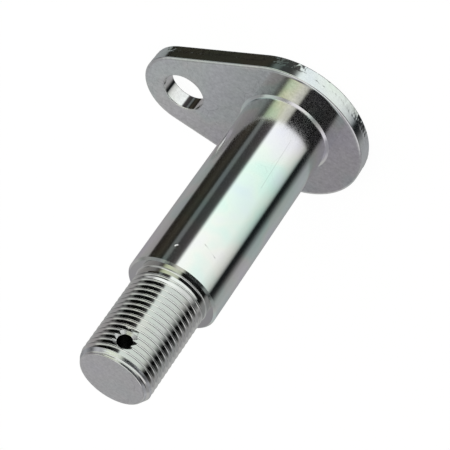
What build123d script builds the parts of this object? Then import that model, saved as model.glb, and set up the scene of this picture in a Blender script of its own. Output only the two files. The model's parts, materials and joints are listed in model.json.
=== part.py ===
"""Tie rod pin: a turned steel pin in a blanked flag plate, held by a weld ring, all zinc plated.

The frame: the origin is on the pin's axis, in the plate's outer face. +Z runs along the pin to its
threaded end, and +X points to the plate's lug. All sizes are in millimetres.
"""

import os
from math import acos, atan2, cos, degrees, radians, sin, sqrt, tan

from build123d import *

# Flag plate: a teardrop, round about the pin's axis, with a smaller round end at the lug
plate_thickness = 6.0
head_radius = 27.2
lug_radius = 15.1
lug_offset = 36.3            # from the pin's axis to the centre of the lug's round end
lug_hole_radius = 7.25
lug_hole_shift = 0.6         # the hole sits this much further out than the round end's centre
rolled_edge = 0.8            # radius that blanking rolls over on the plate's inner face
sheared_edge = 0.3           # the smaller break on the outer face, where the metal tore
lug_hole_edge = 0.4

# Pin, from the plate to the threaded end
shank_length = 73.0
thread_radius = 12.0         # crests of an M24 thread with a 2 mm pitch
thread_length = 34.5         # from the shoulder to the end face
thread_pitch = 2.0
thread_depth = 1.227         # from its crests to its roots
thread_crest = 0.25          # width of the flat on each crest
thread_turn = 112.0          # degrees from the lug's direction to where the helix starts
collar_length = 2.4          # plain collar at the shoulder, where the thread runs out
collar_drop = 0.15           # the collar lies this far under the crests
shoulder_width = 3.0         # how far the shank stands out past the thread
shoulder_chamfer = 0.7
thread_root = 0.4            # small radius where the collar meets the shoulder
end_chamfer_width = 1.35
end_chamfer_length = 2.35
end_edge = 0.6               # radius between the end face and its chamfer
foot_radius = 0.9            # concave root of the shank, at the plate
foot_land = 0.2              # straight rim of that root, standing on the plate

# Hole for a split pin, across the thread
cotter_radius = 2.4
cotter_from_end = 7.2
cotter_angle = -94.6         # degrees from the lug's direction
cotter_sink = 0.9            # width of the broken edge round each mouth

# Spigot through the plate, and the weld that holds it
spigot_shoulder = 4.0        # width of the ring of shank that bears on the plate
spigot_clearance = 0.05
groove_depth = 3.0           # 45 degree groove round the spigot, in the plate's outer face
weld_edge_depth = 0.6        # the weld's two edges lie this far below the plate's outer face
weld_crown_depth = 0.15      # and its crown this far, so that the plate rests flat

# Worked out from the sizes above
shank_radius = thread_radius + shoulder_width
spigot_radius = shank_radius - spigot_shoulder
bore_radius = spigot_radius + spigot_clearance
shoulder_z = plate_thickness + shank_length
end_z = shoulder_z + thread_length
cotter_z = end_z - cotter_from_end
minor_radius = thread_radius - thread_depth
collar_radius = thread_radius - collar_drop
collar_z = shoulder_z + collar_length
lug_hole_offset = lug_offset + lug_hole_shift

os.makedirs("parts", exist_ok=True)


# Flag plate: two arcs joined by their common tangents, blanked in one stroke
tangent_angle = degrees(acos((head_radius - lug_radius) / lug_offset))
tangent_x = cos(radians(tangent_angle))
tangent_y = sin(radians(tangent_angle))
lug_centre = (lug_offset, 0)

with BuildPart() as flag_plate:
    with BuildSketch(Plane.XY) as plate_outline:
        with BuildLine():
            CenterArc((0, 0), head_radius, tangent_angle, 360 - 2 * tangent_angle)
            CenterArc(lug_centre, lug_radius, -tangent_angle, 2 * tangent_angle)
            for side in (-1, 1):
                Line(
                    (head_radius * tangent_x, side * head_radius * tangent_y),
                    (lug_offset + lug_radius * tangent_x, side * lug_radius * tangent_y),
                )
        make_face()
    extrude(amount=plate_thickness)
    inner_rim = flag_plate.faces().sort_by(Axis.Z)[-1].edges()
    outer_rim = flag_plate.faces().sort_by(Axis.Z)[0].edges()
    fillet(inner_rim, rolled_edge)
    fillet(outer_rim, sheared_edge)
    with Locations((lug_hole_offset, 0, plate_thickness)):
        Hole(lug_hole_radius)
    lug_hole_rims = (
        flag_plate.edges()
        .filter_by(GeomType.CIRCLE)
        .filter_by(lambda rim: abs(rim.radius - lug_hole_radius) < 1e-6)
        .filter_by(lambda rim: rim.is_closed)
    )
    fillet(lug_hole_rims, lug_hole_edge)
    # Bore for the spigot, opened into a 45 degree groove for the weld
    with BuildSketch(Plane.XZ):
        Polygon(
            (0, 0),
            (bore_radius + groove_depth, 0),
            (bore_radius, groove_depth),
            (bore_radius, plate_thickness),
            (0, plate_thickness),
            align=None,
        )
    revolve(axis=Axis.Z, mode=Mode.SUBTRACT)
flag_plate.part.label = "flag_plate"
export_step(flag_plate.part, "parts/flag_plate.step")


# Thread: one tooth carried up the helix and joined to the core, both longer than they end up
core_start = shoulder_z - 2 * thread_pitch
core_end = end_z + 4 * thread_pitch
helix_start = shoulder_z - thread_pitch
helix_length = thread_length + 2 * thread_pitch
crest_half = thread_crest / 2
tooth_half = crest_half + thread_depth * tan(radians(30))

with BuildPart() as tooth:
    with BuildLine():
        helix = Helix(
            pitch=thread_pitch,
            height=helix_length,
            radius=minor_radius,
            center=(0, 0, helix_start),
        )
    with BuildSketch(Plane.XZ):
        with Locations((0, helix_start)):
            Polygon(
                (minor_radius - 0.1, -tooth_half - 0.02),
                (minor_radius, -tooth_half),
                (thread_radius, -crest_half),
                (thread_radius, crest_half),
                (minor_radius, tooth_half),
                (minor_radius - 0.1, tooth_half + 0.02),
                align=None,
            )
    sweep(path=helix, is_frenet=True)

with BuildPart() as thread:
    with BuildSketch(Plane.XZ):
        Polygon(
            (0, core_start),
            (minor_radius, core_start),
            (minor_radius, core_end),
            (0, core_end),
            align=None,
        )
    revolve(axis=Axis.Z)
    add(tooth.part.rotate(Axis.Z, thread_turn))
    # What would lie inside the collar and the shank is trimmed off
    with BuildSketch(Plane.XZ):
        Polygon(
            (0, core_start - 1),
            (shank_radius, core_start - 1),
            (shank_radius, collar_z),
            (0, collar_z),
            align=None,
        )
    revolve(axis=Axis.Z, mode=Mode.SUBTRACT)


# Pin: one turned profile, from the spigot's end to the thread's collar, and the thread on it
foot_centre = (shank_radius + foot_radius, plate_thickness + foot_land + foot_radius)
root_centre = (collar_radius + thread_root, shoulder_z + thread_root)
chamfer_angle = degrees(atan2(end_chamfer_width, end_chamfer_length))
end_face_radius = thread_radius - end_chamfer_width
edge_centre = end_face_radius - end_edge * tan(radians(90 - chamfer_angle) / 2)
cup_rim_z = end_z - end_chamfer_length * (1 + 1 / end_chamfer_width)

with BuildPart() as pin:
    with BuildSketch(Plane.XZ):
        with BuildLine():
            Polyline(
                (0, collar_z),
                (0, 0),
                (spigot_radius, 0),
                (spigot_radius, plate_thickness),
                (shank_radius + foot_radius, plate_thickness),
                (shank_radius + foot_radius, plate_thickness + foot_land),
            )
            CenterArc(foot_centre, foot_radius, 180, 90)
            Polyline(
                (shank_radius, plate_thickness + foot_land + foot_radius),
                (shank_radius, shoulder_z - shoulder_chamfer),
                (shank_radius - shoulder_chamfer, shoulder_z),
                (collar_radius + thread_root, shoulder_z),
            )
            CenterArc(root_centre, thread_root, 180, 90)
            Polyline(
                (collar_radius, shoulder_z + thread_root),
                (collar_radius, collar_z),
                (0, collar_z),
            )
        make_face()
    revolve(axis=Axis.Z)
    add(thread.part)

    # End: faced, chamfered and its edge rounded in one cut, by a tool shaped like a cup
    with BuildSketch(Plane.XZ):
        with BuildLine():
            Line((0, end_z), (edge_centre, end_z))
            CenterArc((edge_centre, end_z - end_edge), end_edge, 90, chamfer_angle - 90)
            Polyline(
                (
                    edge_centre + end_edge * cos(radians(chamfer_angle)),
                    end_z - end_edge + end_edge * sin(radians(chamfer_angle)),
                ),
                (thread_radius + 1, cup_rim_z),
                (shank_radius, cup_rim_z),
                (shank_radius, core_end + 1),
                (0, core_end + 1),
                (0, end_z),
            )
        make_face()
    revolve(axis=Axis.Z, mode=Mode.SUBTRACT)

    # Cross hole, with its edge broken where it leaves the thread on each side
    cotter_reach = thread_radius + cotter_sink
    mouth_distance = sqrt(thread_radius**2 - (cotter_radius + cotter_sink) ** 2)
    sink_start = mouth_distance - cotter_sink
    sink_height = cotter_reach - sink_start
    for half_turn in (0, 180):
        angle = radians(cotter_angle + half_turn)
        outwards = Vector(cos(angle), sin(angle), 0)
        axis_point = Vector(0, 0, cotter_z)
        with BuildSketch(Plane(origin=axis_point, z_dir=outwards)):
            Circle(cotter_radius)
        extrude(amount=cotter_reach, mode=Mode.SUBTRACT)
        with Locations(Plane(origin=axis_point + outwards * sink_start, z_dir=outwards)):
            Cone(
                bottom_radius=cotter_radius,
                top_radius=cotter_radius + sink_height,
                height=sink_height,
                align=(Align.CENTER, Align.CENTER, Align.MIN),
                mode=Mode.SUBTRACT,
            )
pin.part.label = "pin"
export_step(pin.part, "parts/pin.step")


# Rear weld: fills the groove, its face slightly crowned and just below the plate's outer face
weld_outer_radius = bore_radius + groove_depth - weld_edge_depth
weld_middle_radius = (spigot_radius + weld_outer_radius) / 2

with BuildPart() as rear_weld:
    with BuildSketch(Plane.XZ):
        with BuildLine():
            Polyline(
                (weld_outer_radius, weld_edge_depth),
                (bore_radius, groove_depth),
                (spigot_radius, groove_depth),
                (spigot_radius, weld_edge_depth),
            )
            ThreePointArc(
                (spigot_radius, weld_edge_depth),
                (weld_middle_radius, weld_crown_depth),
                (weld_outer_radius, weld_edge_depth),
            )
        make_face()
    revolve(axis=Axis.Z)
rear_weld.part.label = "rear_weld"
export_step(rear_weld.part, "parts/rear_weld.step")
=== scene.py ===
import json
from math import acos, atan2, cos, degrees, pi, radians, sin, sqrt, tan

import bmesh
import bpy
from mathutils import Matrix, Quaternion, Vector, noise


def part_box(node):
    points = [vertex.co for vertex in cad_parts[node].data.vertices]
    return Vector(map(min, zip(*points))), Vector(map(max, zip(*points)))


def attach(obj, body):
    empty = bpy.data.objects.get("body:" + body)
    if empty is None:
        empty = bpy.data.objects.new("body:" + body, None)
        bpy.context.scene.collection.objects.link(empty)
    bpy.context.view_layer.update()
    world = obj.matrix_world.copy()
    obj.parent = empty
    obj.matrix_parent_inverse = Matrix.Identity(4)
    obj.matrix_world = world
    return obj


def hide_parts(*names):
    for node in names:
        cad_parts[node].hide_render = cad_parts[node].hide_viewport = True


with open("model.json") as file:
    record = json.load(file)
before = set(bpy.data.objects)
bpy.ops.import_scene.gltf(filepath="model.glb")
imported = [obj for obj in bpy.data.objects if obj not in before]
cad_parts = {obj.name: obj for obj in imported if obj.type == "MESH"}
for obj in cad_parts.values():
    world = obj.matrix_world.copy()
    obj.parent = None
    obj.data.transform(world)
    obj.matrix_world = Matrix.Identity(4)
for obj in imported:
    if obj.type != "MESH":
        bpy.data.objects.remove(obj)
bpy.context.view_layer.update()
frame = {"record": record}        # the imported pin: flag_plate, pin and rear_weld, all on the body "root"
mounts = {mount["name"]: mount for mount in frame["record"]["mounts"]}
MM = 0.001               # pieces are modelled in millimetres, and scaled to metres when done


# Flag plate. A teardrop blanked from 6 mm steel strip in one stroke and then zinc plated. The punch
# rolled its inner rim over and left a bright sheared band below it, and under that the metal tore.
# The lug hole was drilled and its rims broken. The spigot's bore opens into a weld groove behind.
plate_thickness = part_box("flag_plate")[1].z / MM
head_radius = 27.2
lug_radius = 15.1
lug_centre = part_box("flag_plate")[1].x / MM - lug_radius
lug_hole_x = mounts["lug_hole"]["pos_m"][0] / MM
lug_hole_radius = mounts["lug_hole"]["dims"]["r_mm"]
roll_width = 1.4          # the rim starts to fall this far in from the outline
roll_depth = 0.5          # and is this far down where it meets the wall
roll_steps = 12
torn_edge = 0.3           # the small break along the outer rim
hole_edge = 0.4           # and along both rims of the lug hole
torn_height = 2.9         # the torn band reaches about this far up the blanked wall
torn_wave = 0.9           # its border wanders so far over about 6 mm,
torn_wave_length = 6.0
torn_ripple = 0.5         # and so far over about 1 mm,
torn_fade = 0.5           # and it fades out over this height
torn_depth = 0.28         # from its deepest pit to its highest grain
torn_grains = ((1.3, 0.65), (0.45, 0.35))   # sizes of its grain, and each one's share of the depth
wall_cuts = 18            # the fine steps up the wall that the torn band needs
outline_steps = 720
lug_hole_steps = 144
bore_steps = 192
groove_depth = 3.0
bore_radius = 11.05
past = 1.0                # how far a cutting tool runs past the face that it opens


def new_piece(name, add, **shape):
    """Adds a primitive, puts its place in its mesh, and opens it alone for editing."""
    bpy.ops.object.select_all(action="DESELECT")
    add(**shape)
    piece = bpy.context.object
    piece.name = piece.data.name = name
    bpy.ops.object.transform_apply(location=True, rotation=True, scale=True)
    bpy.ops.object.mode_set(mode="EDIT")
    bpy.ops.mesh.select_mode(type="VERT")
    return piece


def pick(kind, test):
    """Selects the open piece's corners, edges or faces whose middle and direction pass a test."""
    bpy.ops.mesh.select_mode(type=kind)
    bpy.ops.mesh.select_all(action="DESELECT")
    shape = bmesh.from_edit_mesh(bpy.context.object.data)
    if kind == "FACE":
        for face in shape.faces:
            face.select_set(test(face.calc_center_median(), face.normal))
    elif kind == "EDGE":
        for edge in shape.edges:
            low, high = (corner.co for corner in edge.verts)
            edge.select_set(test((low + high) / 2, (high - low).normalized()))
    else:
        for corner in shape.verts:
            corner.select_set(test(corner.co, corner.normal))
    shape.select_flush_mode()
    bmesh.update_edit_mesh(bpy.context.object.data)


def turn(profile):
    """Carries the selected end of a turned piece through each (radius, height) of its profile."""
    for (radius, height), (next_radius, next_height) in zip(profile, profile[1:]):
        bpy.ops.mesh.extrude_region_move(
            TRANSFORM_OT_translate={"value": (0, 0, next_height - height)}
        )
        share = next_radius / radius
        bpy.ops.transform.resize(value=(share, share, 1), center_override=(0, 0, next_height))


def arc(centre_radius, centre_height, radius, first, last, steps):
    """Points (radius, height) along a round of a turned profile, from one angle to another."""
    angles = [radians(first + (last - first) * step / steps) for step in range(steps + 1)]
    return [(centre_radius + radius * cos(a), centre_height + radius * sin(a)) for a in angles]


def turned(name, profile, steps):
    """A closed solid of revolution about the pin's axis."""
    radius, height = profile[0]
    piece = new_piece(
        name,
        bpy.ops.mesh.primitive_circle_add,
        vertices=steps,
        radius=radius,
        fill_type="NGON",
        location=(0, 0, height),
    )
    turn(profile)
    bpy.ops.mesh.select_all(action="SELECT")
    bpy.ops.mesh.normals_make_consistent(inside=False)
    bpy.ops.object.mode_set(mode="OBJECT")
    return piece


def apply(piece, modifier):
    """Makes a modifier part of the piece's own mesh."""
    bpy.ops.object.select_all(action="DESELECT")
    piece.select_set(True)
    bpy.context.view_layer.objects.active = piece
    bpy.ops.object.modifier_apply(modifier=modifier.name)


def combine(piece, tool, operation):
    """Cuts a tool out of a piece, or joins it on, and takes the tool away."""
    modifier = piece.modifiers.new("combine", "BOOLEAN")
    modifier.operation = operation
    modifier.solver = "EXACT"
    modifier.object = tool
    apply(piece, modifier)
    bpy.data.objects.remove(tool)
    bpy.ops.object.mode_set(mode="EDIT")
    bpy.ops.mesh.select_mode(type="VERT")
    bpy.ops.mesh.select_all(action="SELECT")
    bpy.ops.mesh.remove_doubles(threshold=0.001)
    bpy.ops.object.mode_set(mode="OBJECT")


def done(piece, angle):
    """Scales a piece to metres and shades its rounds smoothly, with a crease at sharper edges."""
    bpy.ops.object.select_all(action="DESELECT")
    piece.select_set(True)
    bpy.context.view_layer.objects.active = piece
    bpy.ops.object.shade_smooth_by_angle(angle=radians(angle))
    flats = piece.modifiers.new("flats", "WEIGHTED_NORMAL")
    flats.keep_sharp = True
    flats.weight = 80
    apply(piece, flats)
    piece.scale = (MM, MM, MM)
    bpy.ops.object.transform_apply(location=False, rotation=False, scale=True)


plate = new_piece(
    "flag_plate_blank",
    bpy.ops.mesh.primitive_cylinder_add,
    vertices=outline_steps,
    radius=head_radius,
    depth=plate_thickness - roll_depth,
    location=(0, 0, (plate_thickness - roll_depth) / 2),
)

# The lug's side of the round head is drawn out and made smaller, up to the two common tangents
tangent_angle = acos((head_radius - lug_radius) / lug_centre)
pick(
    "FACE",
    lambda middle, normal: abs(normal.z) < 0.5 and atan2(abs(middle.y), middle.x) < tangent_angle,
)
bpy.ops.mesh.extrude_region_move(TRANSFORM_OT_translate={"value": (lug_centre, 0, 0)})
lug_share = lug_radius / head_radius
bpy.ops.transform.resize(value=(lug_share, lug_share, 1), center_override=(lug_centre, 0, 0))
pick("FACE", lambda middle, normal: abs(normal.z) > 0.5)
bpy.ops.mesh.dissolve_faces()

# The two straight sides are one long edge each, and get as many steps as the round ends have
side_length = lug_centre * sin(tangent_angle)
side_x = (lug_centre + (head_radius + lug_radius) * cos(tangent_angle)) / 2
side_y = (head_radius + lug_radius) * sin(tangent_angle) / 2
outline_step = 2 * pi * head_radius / outline_steps
for side in (-1, 1):
    pick(
        "EDGE",
        lambda middle, way: abs(way.z) < 0.5
        and abs(middle.y * side - side_y) < 1
        and abs(middle.x - side_x) < 1,
    )
    bpy.ops.mesh.subdivide(number_cuts=int(side_length / outline_step))

# The inner face is drawn in and up along a quarter of an ellipse, steep at the wall
pick("FACE", lambda middle, normal: normal.z > 0.5)
for step in range(roll_steps):
    low, high = (radians(90 * turn / roll_steps) for turn in (step, step + 1))
    inwards = roll_width * (cos(low) - cos(high))
    upwards = roll_depth * (sin(high) - sin(low))
    bpy.ops.mesh.inset(thickness=inwards, depth=upwards, use_even_offset=True)
pick("EDGE", lambda middle, way: abs(way.z) < 0.5 and middle.z < 0.01)
bpy.ops.mesh.bevel(offset=torn_edge, segments=3, profile=0.5)
bpy.ops.object.mode_set(mode="OBJECT")

lug_drill = turned(
    "lug_drill",
    [(lug_hole_radius + hole_edge + past, -past)]
    + arc(lug_hole_radius + hole_edge, hole_edge, hole_edge, 270, 180, 5)
    + arc(lug_hole_radius + hole_edge, plate_thickness - hole_edge, hole_edge, 180, 90, 5)
    + [(lug_hole_radius + hole_edge + past, plate_thickness + past)],
    lug_hole_steps,
)
lug_drill.location.x = lug_hole_x
combine(plate, lug_drill, "DIFFERENCE")
bore_tool = turned(
    "bore_tool",
    [
        (bore_radius + groove_depth + past, -past),
        (bore_radius, groove_depth),
        (bore_radius, plate_thickness + past),
    ],
    bore_steps,
)
combine(plate, bore_tool, "DIFFERENCE")


def on_outline(place):
    """Whether a place is on the plate's outline rather than in one of its holes."""
    from_lug_hole = sqrt((place.x - lug_hole_x) ** 2 + place.y**2) - lug_hole_radius
    from_bore = sqrt(place.x**2 + place.y**2) - bore_radius
    return from_lug_hole > past and from_bore > groove_depth + past


def torn_share(place):
    """How torn the blanked wall is at a place: 1 low down, 0 in the sheared band above."""
    wave = torn_wave * noise.noise(place / torn_wave_length)
    border = torn_height + wave + torn_ripple * noise.noise(place)
    return max(0.0, min(1.0, (border - place.z) / torn_fade))


bpy.ops.object.mode_set(mode="EDIT")
pick(
    "EDGE",
    lambda middle, way: abs(way.z) > 0.99
    and torn_edge < middle.z < plate_thickness - roll_depth
    and on_outline(middle),
)
bpy.ops.mesh.subdivide(number_cuts=wall_cuts)
bpy.ops.object.mode_set(mode="OBJECT")

torn = plate.vertex_groups.new(name="torn")
for corner in plate.data.vertices:
    if torn_edge / 2 < corner.co.z < torn_height + 1 and on_outline(corner.co):
        torn.add([corner.index], torn_share(corner.co), "REPLACE")
for grain_size, share in torn_grains:
    grain = bpy.data.textures.new("torn_grain", "CLOUDS")
    grain.noise_scale = grain_size
    pits = plate.modifiers.new("pits", "DISPLACE")
    pits.texture = grain
    pits.texture_coords = "LOCAL"
    pits.vertex_group = "torn"
    pits.strength = torn_depth * share
    pits.mid_level = 0.75
    apply(plate, pits)
done(plate, angle=32)


def node_of(tree, kind, **values):
    """A shader node with its options and its unlinked inputs set."""
    node = tree.nodes.new(kind)
    for name, value in values.items():
        if hasattr(node, name):
            setattr(node, name, value)
        else:
            node.inputs[name.replace("_", " ")].default_value = value
    return node


def new_group(name, inputs, outputs):
    """An empty shader group, with its sockets as (name, kind, default)."""
    group = bpy.data.node_groups.new(name, "ShaderNodeTree")
    for in_out, sockets in (("INPUT", inputs), ("OUTPUT", outputs)):
        for socket_name, kind, default in sockets:
            socket = group.interface.new_socket(socket_name, in_out=in_out, socket_type=kind)
            if default is not None:
                socket.default_value = default
    return group, group.nodes.new("NodeGroupInput"), group.nodes.new("NodeGroupOutput")


# Passivation over the zinc shows as faint clouds of straw, mint and violet
tint_group, tint_in, tint_out = new_group(
    "passivation_tint",
    [
        ("Vector", "NodeSocketVector", None),
        ("Metal", "NodeSocketColor", (0.8, 0.8, 0.8, 1)),
        ("Amount", "NodeSocketFloat", 0.1),
    ],
    [("Color", "NodeSocketColor", None)],
)
clouds = node_of(tint_group, "ShaderNodeTexNoise", Scale=60.0, Detail=2.0, Roughness=0.45)
hues = node_of(tint_group, "ShaderNodeValToRGB")
hue_stops = (
    (0.30, (0.86, 0.80, 1.00, 1)),
    (0.42, (1.00, 0.93, 0.97, 1)),
    (0.50, (1.00, 0.99, 0.90, 1)),
    (0.58, (0.78, 1.00, 0.90, 1)),
    (0.70, (0.84, 0.93, 1.00, 1)),
)
for place, hue in hue_stops[2:]:
    hues.color_ramp.elements.new(place)
for element, (place, hue) in zip(hues.color_ramp.elements, hue_stops):
    element.position = place
    element.color = hue
tinted = node_of(tint_group, "ShaderNodeMix", data_type="RGBA", blend_type="MULTIPLY")
wire = tint_group.links.new
wire(tint_in.outputs["Vector"], clouds.inputs["Vector"])
wire(clouds.outputs["Fac"], hues.inputs["Fac"])
wire(tint_in.outputs["Amount"], tinted.inputs[0])
wire(tint_in.outputs["Metal"], tinted.inputs[6])
wire(hues.outputs["Color"], tinted.inputs[7])
wire(tinted.outputs[2], tint_out.inputs["Color"])

# Fine grain and a few handling marks, as one height
wear_group, wear_in, wear_out = new_group(
    "handling_wear",
    [
        ("Vector", "NodeSocketVector", None),
        ("Grain Scale", "NodeSocketFloat", 2500.0),
        ("Marks", "NodeSocketFloat", 0.5),
    ],
    [("Height", "NodeSocketFloat", None)],
)
grain = node_of(wear_group, "ShaderNodeTexNoise", Detail=3.0, Roughness=0.6)
bend = node_of(wear_group, "ShaderNodeTexNoise", Scale=130.0, Detail=1.0)
bent = node_of(wear_group, "ShaderNodeVectorMath", operation="MULTIPLY_ADD")
bent.inputs[1].default_value = (0.004, 0.004, 0.004)
cells = node_of(wear_group, "ShaderNodeTexVoronoi", feature="DISTANCE_TO_EDGE", Scale=95.0)
thin = node_of(
    wear_group, "ShaderNodeMapRange", clamp=True,
    From_Min=0.0, From_Max=0.012, To_Min=1.0, To_Max=0.0,
)
patches = node_of(wear_group, "ShaderNodeTexNoise", Scale=70.0, Detail=0.0)
patchy = node_of(wear_group, "ShaderNodeMapRange", clamp=True, From_Min=0.56, From_Max=0.66)
marks = node_of(wear_group, "ShaderNodeMath", operation="MULTIPLY")
weighed = node_of(wear_group, "ShaderNodeMath", operation="MULTIPLY")
height = node_of(wear_group, "ShaderNodeMath", operation="SUBTRACT")
wire = wear_group.links.new
wire(wear_in.outputs["Vector"], grain.inputs["Vector"])
wire(wear_in.outputs["Grain Scale"], grain.inputs["Scale"])
wire(wear_in.outputs["Vector"], bend.inputs["Vector"])
wire(bend.outputs["Color"], bent.inputs[0])
wire(wear_in.outputs["Vector"], bent.inputs[2])
wire(bent.outputs["Vector"], cells.inputs["Vector"])
wire(cells.outputs["Distance"], thin.inputs["Value"])
wire(wear_in.outputs["Vector"], patches.inputs["Vector"])
wire(patches.outputs["Fac"], patchy.inputs["Value"])
wire(thin.outputs["Result"], marks.inputs[0])
wire(patchy.outputs["Result"], marks.inputs[1])
wire(marks.outputs["Value"], weighed.inputs[0])
wire(wear_in.outputs["Marks"], weighed.inputs[1])
wire(grain.outputs["Fac"], height.inputs[0])
wire(weighed.outputs["Value"], height.inputs[1])
wire(height.outputs["Value"], wear_out.inputs["Height"])


def zinc(
    name, metal, roughness, tint, grain_scale, bump,
    marks=0.0, uneven=0.15, mottle=0.0, turning=0.0, cloud=None,
):
    """Bright zinc plate: clouds of passivation, fine grain, handling marks and turned rings."""
    material = bpy.data.materials.new(name)
    material.use_nodes = True
    tree = material.node_tree
    wire = tree.links.new
    shader = tree.nodes["Principled BSDF"]
    shader.inputs["Metallic"].default_value = 1.0
    place = node_of(tree, "ShaderNodeTexCoord")
    hue = node_of(tree, "ShaderNodeGroup", node_tree=tint_group)
    hue.inputs["Metal"].default_value = (*metal, 1)
    hue.inputs["Amount"].default_value = tint
    wire(place.outputs["Object"], hue.inputs["Vector"])
    wear = node_of(tree, "ShaderNodeGroup", node_tree=wear_group)
    wear.inputs["Grain Scale"].default_value = grain_scale
    wear.inputs["Marks"].default_value = marks
    wire(place.outputs["Object"], wear.inputs["Vector"])

    colour = hue.outputs["Color"]
    if cloud:
        # A patch of mint about one place, strongest within 4 mm and gone at 24 mm
        off = node_of(tree, "ShaderNodeVectorMath", operation="DISTANCE")
        off.inputs[1].default_value = Vector(cloud) * MM
        near = node_of(
            tree, "ShaderNodeMapRange", clamp=True, interpolation_type="SMOOTHSTEP",
            From_Min=24 * MM, From_Max=4 * MM,
        )
        mint = node_of(tree, "ShaderNodeMix", data_type="RGBA", blend_type="MULTIPLY")
        mint.inputs[7].default_value = (0.85, 1.0, 0.96, 1)
        wire(place.outputs["Object"], off.inputs[0])
        wire(off.outputs["Value"], near.inputs["Value"])
        wire(near.outputs["Result"], mint.inputs[0])
        wire(colour, mint.inputs[6])
        colour = mint.outputs[2]
    if mottle:
        mottled = node_of(tree, "ShaderNodeMix", data_type="RGBA", blend_type="MULTIPLY")
        mottled.inputs[0].default_value = mottle
        wire(colour, mottled.inputs[6])
        wire(wear.outputs["Height"], mottled.inputs[7])
        colour = mottled.outputs[2]
    wire(colour, shader.inputs["Base Color"])

    dull = node_of(
        tree, "ShaderNodeMapRange", clamp=True, From_Min=0.3, From_Max=0.7,
        To_Min=roughness * (1 - uneven), To_Max=roughness * (1 + uneven),
    )
    wire(wear.outputs["Height"], dull.inputs["Value"])
    wire(dull.outputs["Result"], shader.inputs["Roughness"])

    height = wear.outputs["Height"]
    if turning:
        rings = node_of(
            tree, "ShaderNodeTexWave", wave_type="RINGS", rings_direction="Z",
            Scale=900.0, Distortion=3.0, Detail_Scale=0.5,
        )
        turned_height = node_of(tree, "ShaderNodeMath", operation="MULTIPLY_ADD")
        turned_height.inputs[1].default_value = turning
        wire(place.outputs["Object"], rings.inputs["Vector"])
        wire(rings.outputs["Fac"], turned_height.inputs[0])
        wire(height, turned_height.inputs[2])
        height = turned_height.outputs["Value"]
    relief = node_of(tree, "ShaderNodeBump", Strength=1.0, Distance=bump)
    wire(height, relief.inputs["Height"])
    wire(relief.outputs["Normal"], shader.inputs["Normal"])
    return material


def coat(piece, material, test):
    """Gives the open piece's faces that pass a test one of its materials."""
    pick("FACE", test)
    piece.active_material_index = piece.data.materials.find(material.name)
    bpy.ops.object.material_slot_assign()


plate_face_zinc = zinc(
    "plate_face_zinc", (0.98, 0.985, 0.99), roughness=0.08, uneven=0.05, tint=0.22,
    grain_scale=900.0, bump=0.3e-6, marks=0.3, mottle=0.45,
)
plate_edge_zinc = zinc(
    "plate_edge_zinc", (0.84, 0.90, 0.88), roughness=0.13, tint=0.4, grain_scale=1500.0, bump=3e-6,
    mottle=0.3,
)
plate.data.materials.append(plate_face_zinc)
plate.data.materials.append(plate_edge_zinc)
bpy.ops.object.mode_set(mode="EDIT")
coat(
    plate,
    plate_edge_zinc,
    lambda middle, normal: abs(normal.z) < 0.5 and on_outline(middle / MM),
)
bpy.ops.object.mode_set(mode="OBJECT")
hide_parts("flag_plate")
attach(plate, "root")


# Pin. Turned from round bar in one clamping: a spigot, a small cone at the plate, the ground shank,
# a shoulder and the thread's blank. The M24 thread is cut with a 2 mm pitch and runs out at the
# shoulder. A cross hole for a split pin is drilled through it last, and its mouths countersunk.
shank_radius = mounts["shank"]["dims"]["r_mm"]
thread_radius = 12.0
shoulder_z = mounts["shoulder"]["pos_m"][2] / MM
end_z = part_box("pin")[1].z / MM
spigot_radius = bore_radius - 0.05
foot_width = 0.9          # the small cone that seals the shank's foot to the plate
foot_height = 0.6
shoulder_chamfer = 0.7
thread_root = 0.4
collar_radius = mounts["threaded_end"]["dims"]["r_mm"]
collar_length = 2.4       # plain, at the shoulder, where the thread runs out
run_out = 3.0             # the cone from the collar down to the thread's roots
thread_pitch = 2.0
thread_depth = 1.227
flank_angle = radians(30)
crest_round = 0.34        # radii that crests and roots are rounded with
root_round = 0.10
root_flat = 0.03
thread_turn = 112.0       # degrees that the helix starts round from the lug
end_chamfer_width = 1.35
end_chamfer_length = 2.35
end_edge = 0.6
turn_steps = 256          # round everything that is turned
helix_steps = 160         # round each turn of the thread
round_steps = 5
cotter_steps = 96
hair = 0.01               # how far a face's middle may lie off the surface that it is part of
minor_radius = thread_radius - thread_depth
rounds = crest_round + root_round
flank_depth = thread_depth - rounds / 2
flats = thread_pitch / 2 - flank_depth * tan(flank_angle) - rounds * sin(radians(60))
crest_flat = 2 * (flats - root_flat / 2)

pin = turned(
    "pin_turned",
    [
        (spigot_radius, 0),
        (spigot_radius, plate_thickness),
        (shank_radius + foot_width, plate_thickness),
        (shank_radius + foot_width, plate_thickness + 0.06),
        (shank_radius + foot_width - 0.05, plate_thickness + 0.12),
        (shank_radius + 0.16, plate_thickness + foot_height - 0.03),
        (shank_radius + 0.10, plate_thickness + foot_height),
        (shank_radius, plate_thickness + foot_height + 0.02),
        (shank_radius, shoulder_z - shoulder_chamfer),
        (shank_radius - shoulder_chamfer, shoulder_z),
    ]
    + arc(
        collar_radius + thread_root, shoulder_z + thread_root, thread_root, 270, 180, round_steps
    )
    + [
        (collar_radius, shoulder_z + collar_length),
        (minor_radius - 0.01, shoulder_z + collar_length + run_out),
        (minor_radius - 0.01, end_z + past),
    ],
    turn_steps,
)

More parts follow.
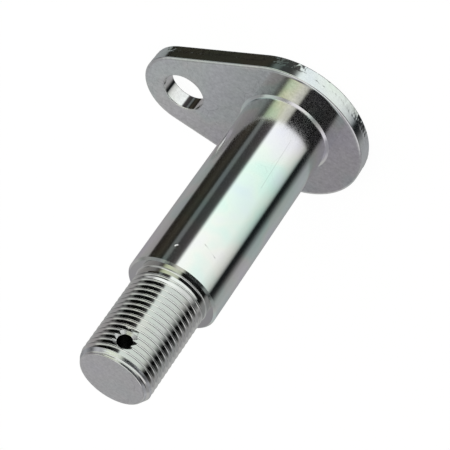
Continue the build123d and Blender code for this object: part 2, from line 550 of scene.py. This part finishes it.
# One tooth of the thread, as a flat outline on the pin's +X side, is carried up the helix
tooth = arc(thread_radius - crest_round, crest_flat / 2, crest_round, 0, 60, round_steps)
root_height = thread_pitch / 2 - root_flat / 2
tooth += arc(minor_radius + root_round, root_height, root_round, 240, 180, round_steps)
tooth += [(minor_radius - 0.3, thread_pitch / 2 - 0.05)]
tooth_outline = [(r, -z) for r, z in reversed(tooth)] + tooth
thread_start = shoulder_z + thread_pitch
turns = int((end_z - thread_start) / thread_pitch) + 2
ridge = new_piece(
    "thread_ridge",
    bpy.ops.mesh.primitive_circle_add,
    vertices=len(tooth_outline),
    radius=1,
    fill_type="NOTHING",
)
shape = bmesh.from_edit_mesh(ridge.data)
for corner, (radius, height) in zip(shape.verts, tooth_outline):
    corner.co = (radius, 0, thread_start + height)
bmesh.update_edit_mesh(ridge.data)
bpy.ops.object.mode_set(mode="OBJECT")
helix = ridge.modifiers.new("helix", "SCREW")
helix.axis = "Z"
helix.angle = 2 * pi
helix.screw_offset = thread_pitch
helix.iterations = turns
helix.steps = helix_steps
helix.render_steps = helix_steps
helix.use_merge_vertices = False
apply(ridge, helix)
bpy.ops.object.mode_set(mode="EDIT")
bpy.ops.mesh.select_all(action="SELECT")
bpy.ops.mesh.remove_doubles(threshold=1e-4)
bpy.ops.mesh.select_all(action="SELECT")
bpy.ops.mesh.fill_holes(sides=0)
bpy.ops.mesh.select_all(action="SELECT")
bpy.ops.mesh.normals_make_consistent(inside=False)
bpy.ops.object.mode_set(mode="OBJECT")
ridge.rotation_euler.z = radians(thread_turn)
combine(pin, ridge, "UNION")

# The thread's end is faced off, chamfered and its edge rounded, by one tool shaped like a cup
chamfer_angle = atan2(end_chamfer_width, end_chamfer_length)
corner_radius = thread_radius - end_chamfer_width
tangent = end_edge * tan((pi / 2 - chamfer_angle) / 2)
edge_centre = (corner_radius - tangent, end_z - end_edge)
slope = end_chamfer_width / end_chamfer_length
facing_tool = turned(
    "facing_tool",
    arc(*edge_centre, end_edge, 90, degrees(chamfer_angle), 6)
    + [
        (thread_radius + past, end_z - end_chamfer_length - past / slope),
        (thread_radius + 5 * past, end_z - end_chamfer_length - past / slope),
        (thread_radius + 5 * past, end_z + 5 * past),
    ],
    turn_steps,
)
combine(pin, facing_tool, "DIFFERENCE")

cotter_radius = mounts["cotter_hole"]["dims"]["r_mm"]
cotter_z = mounts["cotter_hole"]["pos_m"][2] / MM
cotter_axis = Vector(mounts["cotter_hole"]["axis"])
cotter_wall = mounts["cotter_hole"]["dims"]["length_mm"]
mouth_radius = 3.6        # each mouth is countersunk with the point of a larger drill
mouth_slope = tan(radians(31))
mouth = [
    (cotter_radius, cotter_wall / 2),
    (mouth_radius, cotter_wall / 2 + (mouth_radius - cotter_radius) * mouth_slope),
    (mouth_radius + 0.1, thread_radius + past),
]
drill = turned(
    "cotter_drill",
    [(radius, -height) for radius, height in reversed(mouth)] + mouth,
    cotter_steps,
)
drill.rotation_mode = "QUATERNION"
drill.rotation_quaternion = cotter_axis.to_track_quat("Z", "Y")
drill.location.z = cotter_z
combine(pin, drill, "DIFFERENCE")
done(pin, angle=28)

shank_zinc = zinc(
    "shank_zinc", (0.89, 0.90, 0.91), roughness=0.11, uneven=0.4, tint=0.5, grain_scale=2400.0,
    bump=0.3e-6, marks=0.5, mottle=0.12, cloud=(-8.8, -12.1, 42),
)
# Grinding marks run round the shank, so what it mirrors is blurred along it
ground = shank_zinc.node_tree.nodes["Principled BSDF"]
ground.inputs["Anisotropic"].default_value = 0.95
ground.inputs["Anisotropic Rotation"].default_value = 0.25

# How near a place is to a short line: 1 on it and 0 at its width. With no length it is a spot
scratch_group, scratch_in, scratch_out = new_group(
    "scratch",
    [
        ("Vector", "NodeSocketVector", None),
        ("Start", "NodeSocketVector", None),
        ("Way", "NodeSocketVector", None),
        ("Length", "NodeSocketFloat", 0.0),
        ("Width", "NodeSocketFloat", 0.001),
    ],
    [("Mask", "NodeSocketFloat", None)],
)
offset = node_of(scratch_group, "ShaderNodeVectorMath", operation="SUBTRACT")
along = node_of(scratch_group, "ShaderNodeVectorMath", operation="DOT_PRODUCT")
after_start = node_of(scratch_group, "ShaderNodeMath", operation="MAXIMUM")
after_start.inputs[1].default_value = 0.0
before_end = node_of(scratch_group, "ShaderNodeMath", operation="MINIMUM")
nearest = node_of(scratch_group, "ShaderNodeVectorMath", operation="SCALE")
away = node_of(scratch_group, "ShaderNodeVectorMath", operation="DISTANCE")
mask = node_of(
    scratch_group, "ShaderNodeMapRange", clamp=True, interpolation_type="SMOOTHSTEP", From_Max=0.0
)
wire = scratch_group.links.new
wire(scratch_in.outputs["Vector"], offset.inputs[0])
wire(scratch_in.outputs["Start"], offset.inputs[1])
wire(offset.outputs["Vector"], along.inputs[0])
wire(scratch_in.outputs["Way"], along.inputs[1])
wire(along.outputs["Value"], after_start.inputs[0])
wire(after_start.outputs["Value"], before_end.inputs[0])
wire(scratch_in.outputs["Length"], before_end.inputs[1])
wire(scratch_in.outputs["Way"], nearest.inputs[0])
wire(before_end.outputs["Value"], nearest.inputs["Scale"])
wire(offset.outputs["Vector"], away.inputs[0])
wire(nearest.outputs["Vector"], away.inputs[1])
wire(away.outputs["Value"], mask.inputs["Value"])
wire(scratch_in.outputs["Width"], mask.inputs["From Min"])
wire(mask.outputs["Result"], scratch_out.inputs["Mask"])

# A dent and two scratches on the shank, as (start, end, width, depth, how dark) in millimetres
shank_marks = (
    ((1.33, -14.94, 72.25), (1.33, -14.94, 72.25), 0.9, 0.21, 0.0),
    ((-5.4, -14.0, 67.2), (-9.5, -11.6, 68.7), 0.22, 0.0, 0.5),
    ((-8.37, -12.45, 17.75), (-9.01, -12.0, 38.75), 0.24, 0.0, 0.13),
)
tree = shank_zinc.node_tree
wire = tree.links.new
place = tree.nodes["Texture Coordinate"]
for start, end, width, depth, dark in shank_marks:
    line = Vector(end) - Vector(start)
    mark = node_of(tree, "ShaderNodeGroup", node_tree=scratch_group)
    mark.inputs["Start"].default_value = Vector(start) * MM
    mark.inputs["Way"].default_value = line.normalized()
    mark.inputs["Length"].default_value = line.length * MM
    mark.inputs["Width"].default_value = width * MM
    wire(place.outputs["Object"], mark.inputs["Vector"])
    if depth:
        sunk = node_of(tree, "ShaderNodeBump", Strength=1.0, invert=True, Distance=depth * MM)
        wire(mark.outputs["Mask"], sunk.inputs["Height"])
        wire(ground.inputs["Normal"].links[0].from_socket, sunk.inputs["Normal"])
        wire(sunk.outputs["Normal"], ground.inputs["Normal"])
    else:
        scratched = node_of(tree, "ShaderNodeMix", data_type="RGBA", blend_type="MULTIPLY")
        scratched.inputs[7].default_value = (1 - dark, 1 - dark, 1 - dark, 1)
        wire(mark.outputs["Mask"], scratched.inputs[0])
        wire(ground.inputs["Base Color"].links[0].from_socket, scratched.inputs[6])
        wire(scratched.outputs[2], ground.inputs["Base Color"])

thread_zinc = zinc(
    "thread_zinc", (0.76, 0.76, 0.75), roughness=0.05, tint=0.12, grain_scale=1800.0, bump=0.3e-6
)
end_zinc = zinc(
    "end_zinc", (0.98, 0.98, 0.99), roughness=0.34, tint=0.10, grain_scale=1300.0, bump=1.6e-6,
    marks=0.3, mottle=0.42,
)
# The cross hole's wall is painted near black: painted shade inside the hole, not the zinc's own colour
painted_hole_shade = zinc(
    "cross_hole_painted_shade", (0.03, 0.03, 0.03), roughness=0.45, tint=0.10, grain_scale=1500.0, bump=3e-6
)
mouth_zinc = zinc(
    "mouth_zinc", (0.90, 0.90, 0.90), roughness=0.16, tint=0.10, grain_scale=1600.0, bump=40e-6,
    mottle=0.8,
)
chamfer_zinc = zinc(
    "chamfer_zinc", (0.88, 0.90, 0.94), roughness=0.19, tint=0.10, grain_scale=1500.0, bump=5e-6,
    mottle=0.35, turning=1.0,
)
for material in (shank_zinc, thread_zinc, end_zinc, painted_hole_shade, mouth_zinc, chamfer_zinc):
    pin.data.materials.append(material)


def off_cross_axis(place):
    """How far a place lies from the cross hole's axis, in millimetres."""
    offset = place / MM - Vector((0, 0, cotter_z))
    return (offset - offset.dot(cotter_axis) * cotter_axis).length


def on_mouth(place):
    """Whether a face is part of the countersink at either mouth of the cross hole."""
    along = abs((place / MM - Vector((0, 0, cotter_z))).dot(cotter_axis))
    across = off_cross_axis(place)
    cone = cotter_wall / 2 + (across - cotter_radius) * mouth_slope
    on_cone = across > cotter_radius + 2 * hair and abs(along - cone) < 3 * hair
    on_rim = across > mouth_radius - 2 * hair
    return across < mouth_radius + 12 * hair and (on_cone or on_rim)


def on_end_chamfer(place):
    """Whether a face is part of the chamfer between the thread and the end face."""
    radius = sqrt(place.x**2 + place.y**2) / MM
    cone_radius = thread_radius - (place.z / MM - end_z + end_chamfer_length) * slope
    above_foot = place.z / MM > end_z - end_chamfer_length - 10 * hair
    return above_foot and abs(radius - cone_radius) < 3 * hair


def in_cross_hole(place, normal):
    """Whether a face is part of the cross hole's own wall."""
    return off_cross_axis(place) < cotter_radius + 2 * hair and abs(normal.dot(cotter_axis)) < 0.2


bpy.ops.object.mode_set(mode="EDIT")
coat(pin, thread_zinc, lambda middle, normal: middle.z > (shoulder_z - hair) * MM)
coat(pin, end_zinc, lambda middle, normal: middle.z > (end_z - hair) * MM and normal.z > 0.9)
coat(pin, painted_hole_shade, in_cross_hole)
coat(pin, mouth_zinc, lambda middle, normal: on_mouth(middle))
coat(pin, chamfer_zinc, lambda middle, normal: on_end_chamfer(middle))
bpy.ops.object.mode_set(mode="OBJECT")
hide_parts("pin")
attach(pin, "root")


# Rear weld. One run of weld fills the groove round the spigot, hidden behind the plate. It lies a
# little under the plate's outer face, and its ripples lie one on the next where the pool froze.
weld_edge_depth = 0.6
weld_crown_depth = 0.15
weld_outer = bore_radius + groove_depth - weld_edge_depth
weld_middle = (spigot_radius + weld_outer) / 2
weld_steps = 480
ripples = 40
ripple_depth = 0.12
crown_steps = 10

weld = new_piece(
    "weld_bead",
    bpy.ops.mesh.primitive_circle_add,
    vertices=weld_steps,
    radius=bore_radius,
    fill_type="NOTHING",
    location=(0, 0, groove_depth),
)
crown = []
for step in range(crown_steps + 1):
    across = step / crown_steps
    rise = (weld_edge_depth - weld_crown_depth) * (1 - (2 * across - 1) ** 2)
    crown.append((spigot_radius + (weld_outer - spigot_radius) * across, weld_edge_depth - rise))
bpy.ops.mesh.select_all(action="SELECT")
turn(
    [(bore_radius, groove_depth), (spigot_radius, groove_depth)]
    + crown
    + [(bore_radius, groove_depth)]
)
bpy.ops.mesh.select_all(action="SELECT")
bpy.ops.mesh.remove_doubles(threshold=1e-3)
bpy.ops.mesh.select_all(action="SELECT")
bpy.ops.mesh.normals_make_consistent(inside=False)
shape = bmesh.from_edit_mesh(weld.data)
for corner in shape.verts:
    radius = sqrt(corner.co.x**2 + corner.co.y**2)
    across = 2 * (radius - weld_middle) / (weld_outer - spigot_radius)
    if corner.co.z < weld_edge_depth + 0.01 and abs(across) < 0.99:
        lag = 0.5 * across**2
        phase = (atan2(corner.co.y, corner.co.x) / (2 * pi) * ripples + lag) % 1.0
        corner.co.z += ripple_depth * phase * (1 - across**2)
bmesh.update_edit_mesh(weld.data)
bpy.ops.object.mode_set(mode="OBJECT")
done(weld, angle=60)
weld_zinc = zinc(
    "weld_zinc", (0.74, 0.74, 0.73), roughness=0.30, tint=0.7, grain_scale=900.0, bump=6e-6
)
weld.data.materials.append(weld_zinc)
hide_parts("rear_weld")
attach(weld, "root")


# Floor. A white sheet that the pin stands on: white to the camera, and it keeps a soft shadow. The
# metal mirrors the studio's own lower half through it, as it does on a clear stand.
floor_size = 4.0
floor_drop = 0.02         # just under the plate's outer face
floor_glow = 0.93         # white to the camera
floor_grey = 0.16         # and dark enough under it for a soft shadow
bpy.ops.object.select_all(action="DESELECT")
bpy.ops.mesh.primitive_plane_add(size=floor_size, location=(0, 0, -floor_drop * MM))
floor = bpy.context.object
floor.name = "floor"
floor.visible_glossy = False
paper = bpy.data.materials.new("white_paper")
paper.use_nodes = True
tree = paper.node_tree
tree.nodes.clear()
sheen = node_of(tree, "ShaderNodeBsdfDiffuse")
sheen.inputs["Color"].default_value = (floor_grey, floor_grey, floor_grey, 1)
glow = node_of(tree, "ShaderNodeEmission")
path = node_of(tree, "ShaderNodeLightPath")
seen = node_of(tree, "ShaderNodeMath", operation="MAXIMUM")
seen_through = node_of(tree, "ShaderNodeMath", operation="MAXIMUM")
share = node_of(tree, "ShaderNodeMath", operation="MULTIPLY")
share.inputs[1].default_value = floor_glow
both = node_of(tree, "ShaderNodeAddShader")
clear = node_of(tree, "ShaderNodeBsdfTransparent")
side = node_of(tree, "ShaderNodeNewGeometry")
one_sided = node_of(tree, "ShaderNodeMixShader")
surface = node_of(tree, "ShaderNodeOutputMaterial")
wire = tree.links.new
wire(path.outputs["Is Camera Ray"], seen.inputs[0])
wire(path.outputs["Is Glossy Ray"], seen.inputs[1])
wire(seen.outputs["Value"], seen_through.inputs[0])
wire(path.outputs["Is Transmission Ray"], seen_through.inputs[1])
wire(seen_through.outputs["Value"], share.inputs[0])
wire(share.outputs["Value"], glow.inputs["Strength"])
wire(sheen.outputs["BSDF"], both.inputs[0])
wire(glow.outputs["Emission"], both.inputs[1])
wire(side.outputs["Backfacing"], one_sided.inputs["Fac"])
wire(both.outputs["Shader"], one_sided.inputs[1])
wire(clear.outputs["BSDF"], one_sided.inputs[2])
wire(one_sided.outputs["Shader"], surface.inputs["Surface"])
floor.data.materials.append(paper)


# Studio. White soft boxes with dark flags between them, all round the pin: bright metal has no look
# of its own, and its stripes are these. Directions go round from the lug, anticlockwise from above.
studio = bpy.data.worlds.new("studio")
bpy.context.scene.world = studio
studio.use_nodes = True
tree = studio.node_tree
tree.nodes.clear()
wire = tree.links.new
towards = node_of(tree, "ShaderNodeTexCoord")
parts = node_of(tree, "ShaderNodeSeparateXYZ")
wire(towards.outputs["Generated"], parts.inputs["Vector"])
bearing = node_of(tree, "ShaderNodeMath", operation="ARCTAN2")
wire(parts.outputs["Y"], bearing.inputs[0])
wire(parts.outputs["X"], bearing.inputs[1])
round_share = node_of(tree, "ShaderNodeMapRange", clamp=True, From_Min=-pi, From_Max=pi)
wire(bearing.outputs["Value"], round_share.inputs["Value"])


def wall_of(stops):
    """The studio's light round one belt, as (bearing in degrees, grey or colour) stops."""
    ramp = node_of(tree, "ShaderNodeValToRGB")
    for _ in stops[2:]:
        ramp.color_ramp.elements.new(0.5)
    for element, (at, colour) in zip(ramp.color_ramp.elements, stops):
        element.position = (at + 180) / 360
        element.color = (*colour, 1) if isinstance(colour, tuple) else (colour, colour, colour, 1)
    wire(round_share.outputs["Result"], ramp.inputs["Fac"])
    return ramp


low_wall = wall_of([
    (-180, (0.55, 0.56, 0.54)),
    (-172, (0.74, 0.76, 0.73)),
    (-150, (1.00, 1.03, 1.00)),
    (-86, (1.10, 1.16, 1.12)),
    (-79, 0.12),
    (-73, (0.06, 0.055, 0.055)),
    (-58, 0.045),
    (-54, (0.15, 0.165, 0.16)),
    (-47, (0.15, 0.165, 0.16)),
    (-43, (0.022, 0.022, 0.018)),
    (-31, (0.045, 0.040, 0.030)),
    (-14, (0.020, 0.017, 0.014)),
    (-8, (0.020, 0.017, 0.014)),
    (-4, (0.33, 0.32, 0.32)),
    (20, (0.37, 0.36, 0.37)),
    (45, (0.34, 0.33, 0.34)),
    (90, (0.36, 0.36, 0.37)),
    (116, (0.41, 0.41, 0.42)),
    (140, 0.38),
    (157, 0.05),
    (163, (0.010, 0.011, 0.012)),
    (172, (0.010, 0.012, 0.013)),
    (176, (0.32, 0.34, 0.33)),
    (180, (0.55, 0.56, 0.54)),
])
middle_wall = wall_of([
    (-180, 0.10),
    (-173, (0.30, 0.31, 0.30)),
    (-160, (0.74, 0.75, 0.74)),
    (-147, (0.82, 0.83, 0.82)),
    (-135, (0.90, 0.92, 0.90)),
    (-100, (1.08, 1.12, 1.08)),
    (-86, (0.92, 0.95, 0.92)),
    (-79, 0.06),
    (-70, 0.006),
    (-20, 0.004),
    (-10, 0.05),
    (30, 0.27),
    (118, 0.40),
    (141, 0.10),
    (158, 0.04),
    (165, 0.004),
    (175, 0.004),
    (180, 0.10),
])
belt_wall = wall_of([
    (-180, 0.20),
    (-160, 0.75),
    (-135, (0.86, 0.87, 0.86)),
    (-100, (1.15, 1.18, 1.15)),
    (-64, (1.15, 1.18, 1.15)),
    (-51, (1.05, 1.07, 1.04)),
    (-37, 0.50),
    (-24, 0.58),
    (-16, 0.46),
    (-4, 0.10),
    (18, 0.40),
    (80, 0.50),
    (118, 0.48),
    (141, 0.34),
    (152, 0.42),
    (161, 0.20),
    (173, 0.09),
    (180, 0.20),
])
high_wall = wall_of([
    (-180, 0.004),
    (-145, (0.016, 0.017, 0.018)),
    (-106, 0.006),
    (-99, (0.68, 0.71, 0.59)),
    (-88, (0.86, 0.89, 0.74)),
    (-62, (0.86, 0.89, 0.65)),
    (-52, (0.68, 0.72, 0.50)),
    (-46, (0.40, 0.42, 0.30)),
    (-41, (0.13, 0.12, 0.10)),
    (-34, (0.13, 0.12, 0.12)),
    (-24, (0.26, 0.25, 0.25)),
    (-4, (0.31, 0.29, 0.29)),
    (50, (0.40, 0.39, 0.40)),
    (60, (0.47, 0.47, 0.48)),
    (64.5, (0.44, 0.44, 0.45)),
    (66, (0.35, 0.35, 0.36)),
    (68, (0.31, 0.30, 0.32)),
    (78, (0.31, 0.30, 0.32)),
    (100, (0.33, 0.33, 0.34)),
    (138, (0.32, 0.32, 0.33)),
    (149, 0.27),
    (156, 0.08),
    (161, 0.008),
    (180, 0.012),
])


def rise(first, last):
    """A share that grows from 0 to 1 between two heights above the horizon, in degrees."""
    share = node_of(
        tree, "ShaderNodeMapRange", clamp=True, interpolation_type="SMOOTHSTEP",
        From_Min=sin(radians(first)), From_Max=sin(radians(last)),
    )
    wire(parts.outputs["Z"], share.inputs["Value"])
    return share


def blend(share, below, above):
    """One colour below and another above, by a share."""
    both = node_of(tree, "ShaderNodeMix", data_type="RGBA")
    wire(share.outputs["Result"], both.inputs[0])
    wire(below, both.inputs[6])
    wire(above, both.inputs[7])
    return both.outputs[2]


roof = wall_of([
    (-180, 0.25),
    (-172, 0.03),
    (-112, 0.02),
    (-100, (0.60, 0.61, 0.54)),
    (-80, (0.60, 0.61, 0.54)),
    (-64, 0.10),
    (-51, 0.12),
    (-37, 0.38),
    (-22, 0.50),
    (-4, (0.66, 0.68, 0.64)),
    (20, (0.66, 0.68, 0.64)),
    (44, 0.38),
    (90, (0.36, 0.36, 0.37)),
    (112, 0.70),
    (141, 0.90),
    (158, 0.45),
    (180, 0.25),
])
lower_half = blend(rise(-29, -24), low_wall.outputs["Color"], middle_wall.outputs["Color"])
belted = blend(rise(-11, -2), lower_half, belt_wall.outputs["Color"])
walls = blend(rise(22, 28), belted, high_wall.outputs["Color"])
roofed = blend(rise(41, 48), walls, roof.outputs["Color"])
zenith = node_of(tree, "ShaderNodeMix", data_type="RGBA")
zenith.inputs[7].default_value = (0.92, 0.93, 0.92, 1)
wire(rise(66, 75).outputs["Result"], zenith.inputs[0])
wire(roofed, zenith.inputs[6])
standing = node_of(tree, "ShaderNodeMix", data_type="RGBA")
standing.inputs[6].default_value = (0.10, 0.10, 0.10, 1)
wire(rise(-64, -50).outputs["Result"], standing.inputs[0])
wire(zenith.outputs[2], standing.inputs[7])
path = node_of(tree, "ShaderNodeLightPath")
backdrop = node_of(tree, "ShaderNodeMix", data_type="RGBA")
backdrop.inputs[7].default_value = (1, 1, 1, 1)
wire(path.outputs["Is Camera Ray"], backdrop.inputs[0])
wire(standing.outputs[2], backdrop.inputs[6])
light = node_of(tree, "ShaderNodeBackground")
sky = node_of(tree, "ShaderNodeOutputWorld")
wire(backdrop.outputs[2], light.inputs["Color"])
wire(light.outputs["Background"], sky.inputs["Surface"])


# Camera. At the photograph's own viewing angle, rolled as the photograph is, so that the thread
# points down to the left and the plate is at the upper right.
picture_width = 450
focal_length = 1832.65            # in the photograph's pixels
camera_bearing = radians(-21.729)
camera_rise = radians(33.172)
camera_roll = radians(-145.169)
camera_distance = 587.39 * MM
aim = Vector((6.833, 20.838, 33.482)) * MM
camera_data = bpy.data.cameras.new("camera")
camera_data.sensor_width = 36.0
camera_data.lens = focal_length * camera_data.sensor_width / picture_width
camera_data.clip_start = 0.01
camera_data.clip_end = 10.0
camera = bpy.data.objects.new("camera", camera_data)
bpy.context.scene.collection.objects.link(camera)
back = Vector((
    sin(camera_bearing) * cos(camera_rise),
    -cos(camera_bearing) * cos(camera_rise),
    sin(camera_rise),
))
camera.location = aim + back * camera_distance
camera.rotation_mode = "QUATERNION"
level = (-back).to_track_quat("-Z", "Y")
camera.rotation_quaternion = level @ Quaternion((0, 0, 1), camera_roll)
bpy.context.scene.camera = camera
bpy.context.scene.view_settings.view_transform = "Standard"
